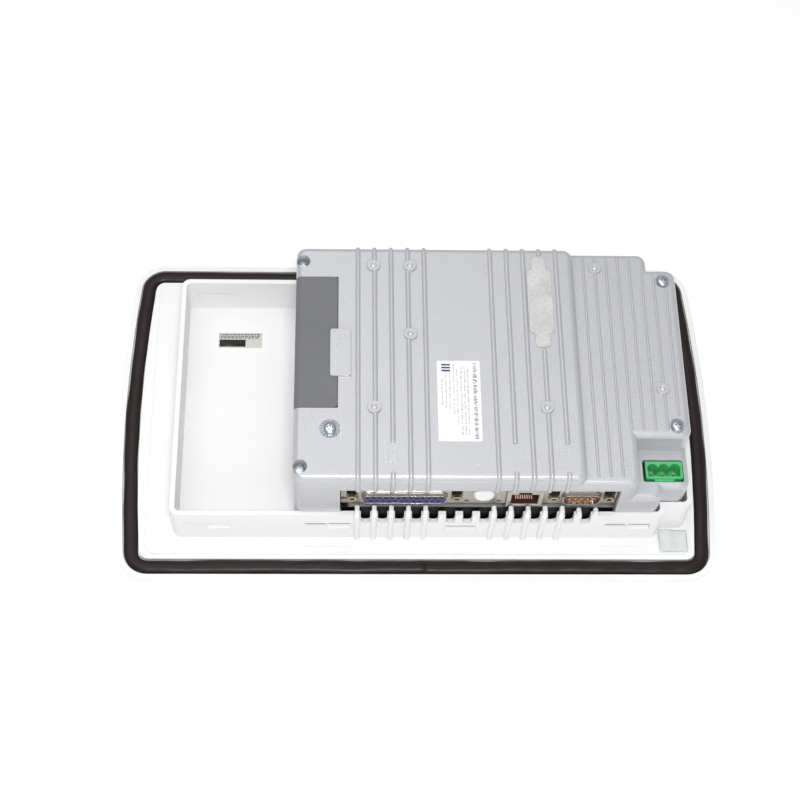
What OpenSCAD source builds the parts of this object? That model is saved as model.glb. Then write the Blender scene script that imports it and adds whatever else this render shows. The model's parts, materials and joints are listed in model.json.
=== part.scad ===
// Rear-mounted operator terminal lying on its face: keypad and touch display in front,
// die-cast electronics housing behind. The front face is on Z = 0, +Z is the rear of the
// device, +X is along its length and -Y is the edge with the connectors.

/* [Bezel] */
// Length of the bezel at mid height
bezel_l = 285; // [284:0.5:288]
// Width of the bezel
bezel_w = 170.6; // [170:0.2:174]
// How far each short side bows outward
side_bow = 3.7; // [2:0.1:5]
// Corner radius of the bezel
bezel_r = 14.5; // [12:0.5:16]
// Height of the outer rim beside the gasket
rim_z = 3.5; // [3:0.1:3.8]
// Height of the flange inside the gasket
flange_z = 4.0; // [3.9:0.1:4.1]
// Height of the raised platform that seats against the panel cutout
platform_z = 4.6; // [4.5:0.1:5]

/* [Gasket] */
// Width of the foam gasket
gasket_w = 6.6; // [6:0.1:7]
// Height of the gasket above the face of the bezel
gasket_z = 4.8; // [4.4:0.1:5.2]

/* [Walls] */
// Height of the wall rim
wall_z = 28.7; // [28:0.1:29]
// Thickness of the walls
wall_t = 2.3; // [2:0.1:2.5]
// Height of the tray floor
floor_z = 6; // [5.8:0.1:6.4]
// Number of fingers in the comb under the connectors
comb_count = 15; // [15:1:15]
// Distance between fingers of the comb
comb_pitch = 7.73; // [7.6:0.01:7.8]
// Height of the tall fingers
finger_z = 34.6; // [33.5:0.1:35.5]

/* [Rear cover] */
// Height of the main section of the cover
cover_z = 62; // [61:0.5:63]
// Height of the lower section on the right
low_z = 57.5; // [57:0.5:58]
// Height of the shelf that holds the power header
shelf_z = 43.5; // [43:0.5:44]
// Wall thickness of the casting
cover_t = 2.5; // [2:0.1:2.6]
// Radius of the rounded top edges
edge_r = 3; // [2.5:0.1:3.5]
// Width of a main rib
rib_w = 2.2; // [1.8:0.1:2.4]
// Height of a main rib above the cover
rib_h = 0.9; // [0.8:0.1:1.2]

/* [Keys] */
// Length of a key top
key_l = 12.4; // [11:0.2:12.6]
// Width of a key top
key_w = 9.6; // [8:0.2:9.8]
// Distance that a key travels
key_travel = 0.5; // [0.3:0.1:0.5]
// Distance between keypad columns
key_pitch_x = 16; // [15.5:0.5:16]
// Distance between keypad rows
key_pitch_y = 14; // [13.5:0.5:14]
// Distance between the function keys
function_pitch = 15.5; // [15:0.5:15.5]

/* [Display] */
// Length of the viewing window
window_l = 116; // [110:1:120]
// Width of the viewing window
window_w = 88; // [84:1:90]
// Centre of the display along X
screen_x = 33; // [32:1:35]
// Centre of the display along Y
screen_y = 8; // [7:1:9]

/* [Connectors] */
// Distance between the jackscrews of the 25-way port
jack25_pitch = 47.04; // [47:0.01:47.1]
// Distance between the jackscrews of the 9-way port
jack9_pitch = 24.99; // [24.9:0.01:25]
// Centre of the 25-way port along X
port25_x = -7.4; // [-8:0.1:-7]
// Centre of the 9-way port along X
port9_x = 72.35; // [72:0.05:72.6]
// Height of the centre line of both serial ports
port_z = 38.6; // [38.4:0.1:38.8]
// Pin pitch of the power header
power_pitch = 5.08; // [5:0.01:5.1]

/* [Hidden] */
$fn = 48;
e = 0.01;

// bezel outline
half_l = bezel_l / 2;
half_w = bezel_w / 2;
bow_chord = 75;
bow_r = (bow_chord * bow_chord + side_bow * side_bow) / (2 * side_bow);
rim_w = 2.7;
groove_z = 1.6;
groove_gap = 0.4;
platform_x = 127;
platform_y = 73;
front_round = 1.2;

// walls: the tray side is the full width, the right end steps in beside the film
wall_x0 = -113.5;
wall_x1 = 125;
wall_y0 = -64.5;
wall_y1 = 61.6;
step_x = 112;
step_y = -59.5;
wall_r = 4;
comb_x = -28.6;
notch_w = 4.3;
notch_z = 20.4;
finger_w = 3.4;
tip_w = 2.1;
shoulder_z = 28.8;
last_z = 32.8;
flat_fingers = [5, 6, 7];
recess_depth = 1.1;
slot_xs = [-96.75, -41.9, 95.6];
slot_l = 21.3;
slot_z0 = 14.3;
slot_z1 = 19.9;
slot_step_z = 17.4;
through_slot = -96.75;
film_well = 0.3;
film = [112.6, -71.6, 126, -60.6];

// rear cover
main_x0 = -57.2;
main_x1 = 72.5;
cover_y0 = -62.7;
main_y1 = 59;
low_y1 = 59.4;
low_x1 = 121.4;
low_front_y = -57;
low_step_x = 109;
low_back_x = 108.1;
low_back_y = 50.6;
shelf_x = 96.7;
shelf_y = -38.5;
cover_bottom = 6.2;
rest_z = wall_z + 0.3;
lip_gap = 0.35;
lip_z = 20;
lip_short_x = -44;
lip_x0 = main_x0 - 1;
lip_y0 = wall_y0 + wall_t + lip_gap;
lip_y1 = wall_y1 - wall_t - lip_gap;
inner_x = 55;
corner_r = 4.5;
opening_x0 = -36.3;
opening_x1 = 88.6;
opening_z = 50.8;
rib_steps = [0, 1, 2, 3, 4, 8, 9, 10, 11, 12];
rib_gap_y = -45;
rib_stub = 0.4;
fine_pitch = 5.47;
fine_x = 77.8;
fine_r = 0.6;
high_bosses = [[-21.3, 48.1], [-4.3, 48.2], [-4.5, 11], [-21.2, -27], [56.2, -26.8]];
low_bosses = [[83.3, 50.7], [109.9, -14.3]];
left_screws = [[-54.1, 50.7], [-54.1, -56.2]];
right_screws = [[115.1, 43.7], [115, -33.2]];
pocket_r = 3.3;
pocket_z = 57;
seat_depth = 0.6;
tower_r = 3.4;
boss_z = 13;
screw_r = 1.5;
ground_x = -40.9;
ground_y = -37.7;
blank_t = 0.8;
blank_wide = [50.2, 12, 61.6, 46.3];
blank_narrow = [52.7, 4.5, 59.4, 53.1];

// card door
door_x = -37.8;
door_y0 = -26.9;
door_y1 = 41.9;
door_t = 2.1;
door_z0 = 36;
door_gap = 0.25;
tab_h = 1.3;
tab_x0 = -41.1;
tab_x1 = -31.7;
tab_y0 = -11.3;
tab_y1 = 13.2;
bay_x0 = -54.2;
bay_x1 = -39.5;
bay_z0 = 14.8;
bay_z1 = 57;
bay_split = 22.8;

// front stack, from the face inward
pocket_x = 129;
pocket_y = 71.5;
overlay_z0 = 0.3;
overlay_z1 = 1.1;
stack_z = 3.4;
key_z0 = 0.5;
key_z1 = 1.9;
circuit_z0 = key_z1 + 2 * key_travel;
flange_key_z = 1.3;
key_lip = 0.8;
touch_z0 = 1.2;
touch_z1 = 3.3;
lcd_z1 = 9.5;
frame_z = 10.6;
touch_border = 8;
frame_border_x = 6.5;
frame_border_y = 5;
lcd_border = 4;
display_board_z = 14;
board_z = 30.2;
board_t = 1.6;
board_x0 = -38.5;
board_x1 = 105;
board_y0 = -53;
board_y1 = 53;
post_inset = 4;
board_top = board_z + board_t;
keypad_x = -84;
keypad_y = 27;
arrow_y = -28;
function_y = -56;

// connector faces
bracket_y = -59.5;
bracket_t = 0.8;
port_front = -61.5;
screw_front = -61.2;
flange_t = 0.9;
flange_h = 5.6;
shell_t = 0.45;
pin_pitch = 2.77;
row_z = 1.42;
window_half = 2.45;
plug_x = 28.2;
plug_z = 42.3;
plug_r = 4.7;
plug_stem = 3.4;
jack_x = 46.7;
jack_l = 16.3;
jack_front = -61;
jack_z0 = 32;
jack_z1 = 46.9;
jack_mouth = 6.2;
header_x = 109.8;
header_l = 16.8;
header_y0 = -53;
header_y1 = -44.5;
pin_y = -49.3;
header_t = 1.1;
header_top = 44.3;
pin_top = 41;
cell_depth = 8;

jackscrew_xs = [
    for (p = [[port25_x, jack25_pitch], [port9_x, jack9_pitch]]) for (s = [-0.5, 0.5]) p[0] + s * p[1]
];

function function_key_at(i) = [screen_x + (3.5 - i) * function_pitch, function_y];
function keypad_at(col, row) =
    [keypad_x + (1 - col) * key_pitch_x, keypad_y + (1.5 - row) * key_pitch_y];
function arrow_at(dx, dy) = [keypad_x + dx * key_pitch_x, arrow_y + dy * key_pitch_y];
all_keys = concat(
    [for (i = [0:7]) function_key_at(i)],
    [for (row = [0:3]) for (col = [0:2]) keypad_at(col, row)],
    [arrow_at(1, 0), arrow_at(0, 1), arrow_at(-1, 0), arrow_at(0, -1)]
);

// rectangle between two corners with rounded corners
module rrect(x0, y0, x1, y1, r) {
    translate([x0 + r, y0]) square([x1 - x0 - 2 * r, y1 - y0]);
    translate([x0, y0 + r]) square([x1 - x0, y1 - y0 - 2 * r]);
    for (x = [x0 + r, x1 - r]) for (y = [y0 + r, y1 - r]) translate([x, y]) circle(r);
}

module rbox(x0, y0, z0, x1, y1, z1, r) {
    translate([0, 0, z0]) linear_extrude(z1 - z0) rrect(x0, y0, x1, y1, r);
}

module block(x0, y0, z0, x1, y1, z1) {
    translate([x0, y0, z0]) cube([x1 - x0, y1 - y0, z1 - z0]);
}

// bezel outline moved inward by inset: straight long edges, bowed short sides
module bezel_outline(inset) {
    r = max(bezel_r - inset, 2);
    hw = half_w - inset;
    side_r = bow_r - inset;
    side_c = half_l - bow_r;
    cy = hw - r;
    cx = side_c + sqrt((side_r - r) * (side_r - r) - cy * cy);
    lean = asin(cy / (side_r - r));
    difference() {
        intersection() {
            translate([-half_l, -hw]) square([bezel_l, 2 * hw]);
            translate([side_c, 0]) circle(side_r, $fn = 360);
            translate([-side_c, 0]) circle(side_r, $fn = 360);
        }
        for (sx = [-1, 1]) for (sy = [-1, 1]) scale([sx, sy])
            polygon([
                [cx, cy],
                [cx, hw + 1],
                [half_l + 1, hw + 1],
                [half_l + 1, cy + (half_l + 1 - cx) * tan(lean)]
            ]);
    }
    for (sx = [-1, 1]) for (sy = [-1, 1]) translate([sx * cx, sy * cy]) circle(r);
}

module bezel_layer(inset, z0, z1) {
    translate([0, 0, z0]) linear_extrude(z1 - z0) bezel_outline(inset);
}

module wall_outline(t) {
    r = wall_r - t * 0.8;
    rrect(wall_x0 + t, wall_y0 + t, step_x - t, wall_y1 - t, r);
    rrect(0, step_y + t, wall_x1 - t, wall_y1 - t, r);
}

// one U-shaped gap of the comb, cut through the front wall
module comb_notch(x) {
    r = notch_w / 2;
    translate([x, wall_y0 - 1, notch_z + r]) rotate([-90, 0, 0]) cylinder(r = r, h = wall_t + 2);
    block(x - r, wall_y0 - 1, notch_z + r, x + r, wall_y0 + wall_t + 1, finger_z + 1);
}

function is_flat(k) = len(search(k, flat_fingers)) > 0;
function finger_top(k) = is_flat(k) ? shoulder_z : k > 12 ? last_z : finger_z;

// one finger: a wide foot with a narrow rounded tip, and a rib down the wall in front
module finger(k) {
    x = comb_x + k * comb_pitch;
    y1 = wall_y0 + wall_t;
    top = finger_top(k);
    w = is_flat(k) ? finger_w : tip_w;
    block(x - finger_w / 2, wall_y0, notch_z, x + finger_w / 2, y1, min(top, shoulder_z));
    block(x - w / 2, wall_y0, notch_z, x + w / 2, y1, top - w / 2);
    translate([x, wall_y0, top - w / 2]) rotate([-90, 0, 0]) cylinder(d = w, h = wall_t);
    if (!is_flat(k) && k < 13) {
        translate([x, wall_y0, platform_z]) cylinder(d = finger_w - 0.6, h = shoulder_z - platform_z);
        translate([x, wall_y0, shoulder_z]) sphere(d = finger_w - 0.6);
    }
}

module bezel_housing() color("white") difference() {
    union() {
        bezel_layer(front_round, 0, front_round);
        bezel_layer(0, front_round, rim_z);
        bezel_layer(rim_w + gasket_w + 2 * groove_gap, rim_z, flange_z);
        rbox(-platform_x, -platform_y, flange_z - e, platform_x, platform_y, platform_z, 6);
        translate([0, 0, flange_z]) linear_extrude(wall_z - flange_z) wall_outline(0);
        for (k = [0:comb_count - 1]) finger(k);
    }
    // groove for the gasket
    translate([0, 0, groove_z]) linear_extrude(rim_z) difference() {
        bezel_outline(rim_w);
        bezel_outline(rim_w + gasket_w + 2 * groove_gap);
    }
    // hollow inside the walls
    difference() {
        translate([0, 0, floor_z]) linear_extrude(finger_z) wall_outline(wall_t);
        for (p = concat(left_screws, right_screws))
            translate([p.x, p.y, floor_z - 1]) cylinder(r = tower_r, h = boss_z - floor_z + 1);
    }
    for (p = concat(left_screws, right_screws))
        translate([p.x, p.y, floor_z]) cylinder(r = screw_r, h = boss_z);
    for (k = [0:comb_count - 2]) comb_notch(comb_x + (k + 0.5) * comb_pitch);
    // clip slots in the long walls: a thin half and a taller half
    for (x = slot_xs) {
        for (y = [[wall_y0 - 1, wall_y0 + recess_depth], [wall_y1 - recess_depth, wall_y1 + 1]]) {
            block(x - slot_l / 2, y[0], slot_step_z, x, y[1], slot_z1);
            block(x, y[0], slot_z0, x + slot_l / 2, y[1], slot_z1);
        }
        rbox(x - slot_l / 2 - 0.8, wall_y0 - 7.7, platform_z - 0.4,
             x + slot_l / 2 + 0.8, wall_y0 - 4.5, platform_z + 1, 0.6);
    }
    // the clip slots beside the tray go through the walls
    block(through_slot - slot_l / 2 + 0.6, wall_y0 - 1, slot_step_z + 0.4,
          through_slot + slot_l / 2 - 0.6, wall_y1 + 1, slot_z1 - 0.4);
    block(11.5, wall_y0 - 1, 13.2, 26, wall_y0 + recess_depth, 17.5);
    // shallow well in the seating face for the strip of film
    rbox(film[0] - film_well, film[1] - film_well, platform_z - film_well,
         film[2] + film_well, film[3] + film_well, platform_z + 1, 0.8);
    // pocket in the face for the keypad and display stack
    rbox(-pocket_x, -pocket_y, -1, pocket_x, pocket_y, stack_z, 5);
    rbox(screen_x - window_l / 2 - lcd_border - 1, screen_y - window_w / 2 - lcd_border - 1, 0,
         screen_x + window_l / 2 + lcd_border + 1, screen_y + window_w / 2 + lcd_border + 1,
         floor_z + 1, 2);
}

module panel_gasket() color([0.24, 0.21, 0.21])
    translate([0, 0, groove_z]) linear_extrude(gasket_z - groove_z) difference() {
        bezel_outline(rim_w + groove_gap);
        bezel_outline(rim_w + groove_gap + gasket_w);
    }

// printed film over the face, with a hole for each key and the viewing window
module front_overlay() color([0.36, 0.38, 0.42]) difference() {
    rbox(-pocket_x + 0.3, -pocket_y + 0.3, overlay_z0, pocket_x - 0.3, pocket_y - 0.3,
         overlay_z1, 4.7);
    rbox(screen_x - window_l / 2, screen_y - window_w / 2, 0,
         screen_x + window_l / 2, screen_y + window_w / 2, 2, 2);
    for (p = all_keys) translate([p.x, p.y, 0]) key_block(0, 2, 0.3, 2.3);
}

// rounded block the size of a key top, grown by a margin
module key_block(z0, z1, grow, r) {
    rbox(-key_l / 2 - grow, -key_w / 2 - grow, z0, key_l / 2 + grow, key_w / 2 + grow, z1, r);
}

module screen_clearance() {
    m = touch_border + 0.3;
    rbox(screen_x - window_l / 2 - m, screen_y - window_w / 2 - m, 0,
         screen_x + window_l / 2 + m, screen_y + window_w / 2 + m, 5, 1);
}

module key_spacer() color([0.85, 0.85, 0.82]) difference() {
    rbox(-pocket_x + 0.3, -pocket_y + 0.3, overlay_z1, pocket_x - 0.3, pocket_y - 0.3,
         circuit_z0, 4.7);
    screen_clearance();
    for (p = all_keys) translate([p.x, p.y, 0]) key_block(0, 5, key_lip + 0.3, 2.8);
}

module snap_domes() color("silver")
    for (p = all_keys) translate([p.x, p.y, circuit_z0 - 0.35])
        cylinder(r1 = 2.8, r2 = 4, h = 0.35, $fn = 24);

module key_circuit() color([0.75, 0.62, 0.25, 1]) difference() {
    rbox(-pocket_x + 0.3, -pocket_y + 0.3, circuit_z0, pocket_x - 0.3, pocket_y - 0.3,
         stack_z, 4.7);
    screen_clearance();
}

module key(p) translate([p.x, p.y, 0]) {
    key_block(key_z0, flange_key_z, 0, 2);
    key_block(flange_key_z, key_z1, key_lip, 2.5);
}
module function_key(i) color([0.8, 0.82, 0.85]) key(function_key_at(i));
module digit_key(col, row) color([0.92, 0.92, 0.9]) key(keypad_at(col, row));
module arrow_key(dx, dy) color([0.55, 0.6, 0.66]) key(arrow_at(dx, dy));

module screen_slab(border, z0, z1, r) {
    rbox(screen_x - window_l / 2 - border, screen_y - window_w / 2 - border, z0,
         screen_x + window_l / 2 + border, screen_y + window_w / 2 + border, z1, r);
}

module touch_screen() color([0.5, 0.6, 0.65, 0.6]) screen_slab(touch_border, touch_z0, touch_z1, 1);

module lcd_panel() color([0.1, 0.1, 0.12]) screen_slab(lcd_border, stack_z + 0.1, lcd_z1, 1);

module lcd_frame() color("silver") difference() {
    rbox(screen_x - window_l / 2 - frame_border_x, screen_y - window_w / 2 - frame_border_y, floor_z,
         screen_x + window_l / 2 + frame_border_x, screen_y + window_w / 2 + frame_border_y,
         frame_z, 2);
    screen_slab(lcd_border + 0.2, 0, lcd_z1 + 0.1, 1);
    for (i = [-2:2]) rbox(screen_x + i * 15 - 4, screen_y - 30, 0, screen_x + i * 15 + 4,
                          screen_y + 30, 20, 2);
}

// corner posts of a board, inset from its edges
function posts(x0, y0, x1, y1) =
    [for (x = [x0 + post_inset, x1 - post_inset]) for (y = [y0 + post_inset, y1 - post_inset]) [x, y]];
display_posts = posts(-15, -32, 81, 40);
logic_posts = posts(board_x0, board_y0, board_x1, board_y1);

module post_holes(places, z) {
    for (p = places) translate([p.x, p.y, z - 1]) cylinder(r = 1.6, h = board_t + 2);
}

module display_board() color("darkgreen") {
    top = display_board_z + board_t;
    difference() {
        block(-15, -32, display_board_z, 81, 40, top);
        post_holes(display_posts, display_board_z);
    }
    block(0, -20, top, 24, 4, top + 2.4);
    block(40, -10, top, 60, 20, top + 2);
}

module board_standoffs() color("silver") {
    for (p = display_posts) translate([p.x, p.y, frame_z]) cylinder(r = 2.4, h = display_board_z - frame_z);
    for (p = logic_posts) translate([p.x, p.y, floor_z]) cylinder(r = 2.6, h = board_z - floor_z);
}

module logic_board() color("darkgreen") {
    top = board_top;
    difference() {
        union() {
            block(board_x0, board_y0, board_z, board_x1, board_y1, top);
            block(100, board_y0, board_z, 118.3, -40, top);
        }
        post_holes(logic_posts, board_z);
    }
    block(10, -20, top, 38, 8, top + 3.4);
    block(-20, -10, top, -4, 16, top + 2.4);
    for (x = [80, 92]) translate([x, 20, top]) cylinder(r = 4.5, h = 12);
}

// trapezoid outline of a D-shaped port: wide edge on top, all corners rounded
module d_outline(l, h, r, grow) {
    lean = (h - 2 * r) * tan(10);
    hull() for (sx = [-1, 1]) {
        translate([sx * (l / 2 - r), h / 2 - r]) circle(r + grow, $fn = 32);
        translate([sx * (l / 2 - r - lean), r - h / 2]) circle(r + grow, $fn = 32);
    }
}

module d_solid(x, y0, y1, l, h, r, grow) {
    translate([x, y1, port_z]) rotate([90, 0, 0]) linear_extrude(y1 - y0) d_outline(l, h, r, grow);
}

// window above a jackscrew, open at the top of the plate
module screw_window(x, z1) {
    block(x - window_half, bracket_y - 1, port_z, x + window_half, bracket_y + 3, z1);
}

// mounting flange behind the bracket, with a hole and a window at each end
module d_flange(x, l, pitch) {
    y0 = bracket_y + bracket_t;
    difference() {
        block(x - l / 2, y0, port_z - flange_h, x + l / 2, y0 + flange_t, port_z + flange_h);
        for (s = [-1, 1]) {
            translate([x + s * pitch / 2, y0 - 1, port_z]) rotate([-90, 0, 0]) cylinder(r = 1.6, h = 4);
            screw_window(x + s * pitch / 2, port_z + flange_h + 1);
        }
    }
}

// D-shaped shell through the bracket, open at the front and the back
module d_shell(x, l, h, r, flange_l, pitch) difference() {
    union() {
        d_flange(x, flange_l, pitch);
        d_solid(x, port_front, bracket_y + bracket_t, l, h, r, 0);
    }
    d_solid(x, port_front - 1, bracket_y + 3, l, h, r, -shell_t);
}

module serial25_shell() color("silver") d_shell(port25_x, 38.3, 7.9, 2.4, 53, jack25_pitch);

module serial9_shell() color("silver") d_shell(port9_x, 17.6, 9.3, 2.8, 30.6, jack9_pitch);

// body of a serial port behind its flange
module port_body(x, half) {
    block(x - half, bracket_y + bracket_t + flange_t, port_z - 5, x + half, -50, port_z + 5);
}

module serial25_insulator() color([0.35, 0.28, 0.62]) difference() {
    union() {
        d_solid(port25_x, port_front + 0.2, bracket_y + bracket_t + flange_t, 38.3, 7.9, 2.4,
                -shell_t - 0.1);
        port_body(port25_x, 20);
    }
    for (row = [0, 1]) for (i = [0:12 - row])
        translate([port25_x + (i - 6 + row * 0.5) * pin_pitch, port_front - 1,
                   port_z + row_z - row * 2 * row_z])
            rotate([-90, 0, 0]) cylinder(r = 0.55, h = 5, $fn = 16);
}

module serial9_insulator() color([0.45, 0.2, 0.08]) {
    d_solid(port9_x, bracket_y - 0.6, bracket_y + bracket_t + flange_t, 17.6, 9.3, 2.8,
            -shell_t - 0.1);
    port_body(port9_x, 9.5);
}

module serial9_pins() color("gold")
    for (row = [0, 1]) for (i = [0:4 - row])
        translate([port9_x + (i - 2 + row * 0.5) * pin_pitch, port_front + 0.2,
                   port_z + row_z - row * 2 * row_z])
            rotate([-90, 0, 0]) cylinder(r = 0.5, h = bracket_y - 0.6 - port_front - 0.2, $fn = 16);

module jackscrews() color([0.75, 0.68, 0.5])
    for (x = jackscrew_xs) translate([x, 0, port_z]) difference() {
        union() {
            translate([0, screw_front, 0]) rotate([-90, 0, 0])
                cylinder(d = 5.2, h = bracket_y - screw_front, $fn = 6);
            translate([0, bracket_y - 0.1, 0]) rotate([-90, 0, 0]) cylinder(r = 1.42, h = 4);
        }
        translate([0, screw_front - 1, 0]) rotate([-90, 0, 0]) cylinder(r = 1.1, h = 5);
    }

module io_bracket() color([0.78, 0.74, 0.66]) difference() {
    union() {
        block(opening_x0 + 0.3, bracket_y, board_top,
              opening_x1 - 0.3, bracket_y + bracket_t, opening_z - 0.2);
        block(opening_x0 + 0.3, bracket_y, board_top,
              opening_x1 - 0.3, board_y0 + 2, board_top + 0.8);
    }
    d_solid(port25_x, bracket_y - 1, bracket_y + 2, 38.7, 8.3, 2.4, 0);
    d_solid(port9_x, bracket_y - 1, bracket_y + 2, 18, 9.7, 2.8, 0);
    for (p = [[port25_x, 20.2], [port9_x, 9.7]])
        block(p[0] - p[1], bracket_y + bracket_t, port_z - 5.2, p[0] + p[1], -49, port_z + 5.2);
    for (p = [[port25_x, 26.7], [port9_x, 15.5]])
        block(p[0] - p[1], bracket_y + bracket_t, port_z - 5.8, p[0] + p[1],
              bracket_y + bracket_t + flange_t + 0.1, port_z + 5.8);
    block(jack_x - jack_l / 2 - 0.2, bracket_y - 1, 20, jack_x + jack_l / 2 + 0.2, -40, jack_z1 + 0.2);
    for (x = jackscrew_xs) {
        translate([x, bracket_y - 1, port_z]) rotate([-90, 0, 0]) cylinder(r = 1.6, h = 4);
        screw_window(x, opening_z + 1);
    }
    translate([plug_x, bracket_y - 1, plug_z]) rotate([-90, 0, 0])
        cylinder(r = plug_stem + 0.15, h = 4);
    for (s = [-1, 1]) translate([plug_x + s * 7.3, bracket_y - 1, 34]) rotate([-90, 0, 0])
        cylinder(r = 1.2, h = 4);
    // open notch at the left end of the plate
    block(opening_x0, bracket_y - 1, 34.8, opening_x0 + 2.7, bracket_y + 2, 38);
}

module ethernet_jack() color([0.8, 0.78, 0.72]) difference() {
    block(jack_x - jack_l / 2, jack_front, jack_z0, jack_x + jack_l / 2, -43, jack_z1);
    block(jack_x - jack_mouth, jack_front - 1, jack_z0 + 1.8, jack_x + jack_mouth, -47.5, jack_z1 - 3.4);
    block(jack_x - 3, jack_front - 1, jack_z1 - 5, jack_x + 3, -47.5, jack_z1 - 1.4);
}

// spring contacts on the floor of the jack
module ethernet_contacts() color("gold")
    for (i = [0:7]) translate([jack_x + (i - 3.5) * 1.02 - 0.25, jack_front + 3, jack_z0 + 1.8])
        cube([0.5, 7.5, 0.9]);

// white blanking plug pressed into the round port
module port_plug() color("white") translate([plug_x, 0, plug_z]) rotate([-90, 0, 0]) {
    translate([0, 0, port_front]) cylinder(r1 = plug_r - 0.7, r2 = plug_r, h = 0.9);
    translate([0, 0, port_front + 0.9]) cylinder(r = plug_r, h = bracket_y - 0.15 - port_front - 0.9);
    translate([0, 0, bracket_y - 1]) cylinder(r = plug_stem, h = 7);
}

// pluggable terminal header sunk in the shelf, with three lobed cells open to the rear
module power_header() color([0.3, 0.75, 0.38]) difference() {
    cell_z = header_top - cell_depth;
    half = header_l / 2;
    union() {
        rbox(header_x - half, header_y0, board_top, header_x + half, header_y1, header_top, 0.6);
        rbox(header_x - 4.5, header_y0 - 1, board_top + 4, header_x + 4.5, header_y0 + 1,
             header_top - 0.8, 0.4);
    }
    for (i = [-1:1]) translate([header_x + i * power_pitch, header_y1 - 3.6, cell_z])
        cylinder(r = 2.45, h = 12);
    block(header_x - half + header_t, header_y0 + header_t, cell_z, header_x + half - header_t,
          header_y1 - 3, header_top + 1);
}

module power_pins() color("silver")
    for (i = [-1:1]) translate([header_x + i * power_pitch - 0.5, pin_y - 0.5, header_top - cell_depth])
        cube([1, 1, pin_top - header_top + cell_depth]);

// open-topped bay under the card door, with one cell for the card and one for the battery
module card_bay() color([0.2, 0.2, 0.22]) difference() {
    block(bay_x0, door_y0 + 0.5, bay_z0, bay_x1, door_y1 - 0.5, bay_z1);
    block(bay_x0 - 1, door_y0 + 1.7, bay_z0 + 1.2, bay_x1 - 1.5, bay_split - 0.6, bay_z1 + 1);
    block(bay_x0 - 1, bay_split + 0.6, bay_z0 + 1.2, bay_x1 - 1.5, door_y1 - 1.7, bay_z1 + 1);
}

module memory_card() color([0.15, 0.25, 0.45])
    rbox(-49.4, -22.9, bay_z0 + 1.2, -46.1, 19.9, bay_z0 + 37.6, 0.5);

module battery() color("silver")
    translate([-45, (bay_split + door_y1 - 1.1) / 2, 34]) rotate([0, 90, 0]) cylinder(r = 8, h = 4);

module expansion_header() color([0.15, 0.15, 0.15]) difference() {
    block(52.5, 10.5, board_top, 59.6, 48.5, cover_z - cover_t - 6);
    block(54, 12, 40, 58.1, 47, cover_z);
}

// self-adhesive blank over the expansion opening
module expansion_cover() color([0.8, 0.8, 0.79])
    for (p = [blank_wide, blank_narrow])
        rbox(p[0], p[1], cover_z, p[2], p[3], cover_z + blank_t, 2);

// upright slab with rounded top edges and corners, standing on the rim
module slab(x0, x1, y0, y1, z1) {
    r = corner_r;
    q = edge_r;
    top = z1 - q;
    block(x0 + r, y0 + q, cover_bottom, x1 - r, y1 - q, z1);
    block(x0 + q, y0 + r, cover_bottom, x1 - q, y1 - r, z1);
    block(x0 + r, y0, cover_bottom, x1 - r, y1, top);
    block(x0, y0 + r, cover_bottom, x1, y1 - r, top);
    for (y = [y0 + q, y1 - q]) translate([x0 + r, y, top]) rotate([0, 90, 0])
        cylinder(r = q, h = x1 - x0 - 2 * r);
    for (x = [x0 + q, x1 - q]) translate([x, y0 + r, top]) rotate([-90, 0, 0])
        cylinder(r = q, h = y1 - y0 - 2 * r);
    for (x = [x0 + r, x1 - r]) for (y = [y0 + r, y1 - r]) translate([x, y, cover_bottom])
        rotate_extrude() {
            square([r, top - cover_bottom]);
            square([r - q, z1 - cover_bottom]);
            intersection() {
                translate([r - q, top - cover_bottom]) circle(q);
                square([r, z1]);
            }
        }
}

// low rounded rib over the cover; it runs down the front and the back face where asked
module rib(x, y0, y1, over_front, over_back) {
    r = rib_w / 2;
    lift = rib_h - r;
    top = cover_z - edge_r;
    translate([x, y0, cover_z + lift]) rotate([-90, 0, 0]) cylinder(r = r, h = y1 - y0);
    if (over_front) {
        translate([x, cover_y0 + edge_r, top]) mirror([0, 1, 0]) rotate([0, -90, 0])
            rotate_extrude(angle = 90) translate([edge_r + lift, 0]) circle(r);
        translate([x, cover_y0 - lift, opening_z]) cylinder(r = r, h = top - opening_z);
    }
    if (over_back) {
        translate([x, main_y1 - edge_r, top]) rotate([0, -90, 0])
            rotate_extrude(angle = 90) translate([edge_r + lift, 0]) circle(r);
        translate([x, main_y1 + lift, rest_z]) cylinder(r = r, h = top - rest_z);
    }
}

module main_ribs() {
    y_front = cover_y0 + edge_r;
    y_back = main_y1 - edge_r;
    for (k = rib_steps) {
        x = comb_x + 0.1 + k * comb_pitch;
        if (k == 2 || k == 9 || k == 12) {
            rib(x, y_front, y_front + rib_stub, true, false);
            rib(x, rib_gap_y, y_back, false, true);
        } else if (k == 11) {
            rib(x, y_front, blank_narrow[1] - 1.4, true, false);
            rib(x, blank_narrow[3] + 1.4, y_back, false, true);
        } else {
            rib(x, y_front, y_back, true, true);
        }
    }
}

module fine_ribs() {
    for (i = [0:7]) {
        y0 = i < 3 ? cover_y0 + edge_r + 1 : i < 7 ? shelf_y + edge_r : -28;
        y1 = i < 5 ? low_y1 - edge_r : i < 7 ? low_back_y - edge_r : 39;
        translate([fine_x + i * fine_pitch, y0, low_z]) rotate([-90, 0, 0])
            cylinder(r = fine_r, h = y1 - y0, $fn = 20);
    }
}

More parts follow.
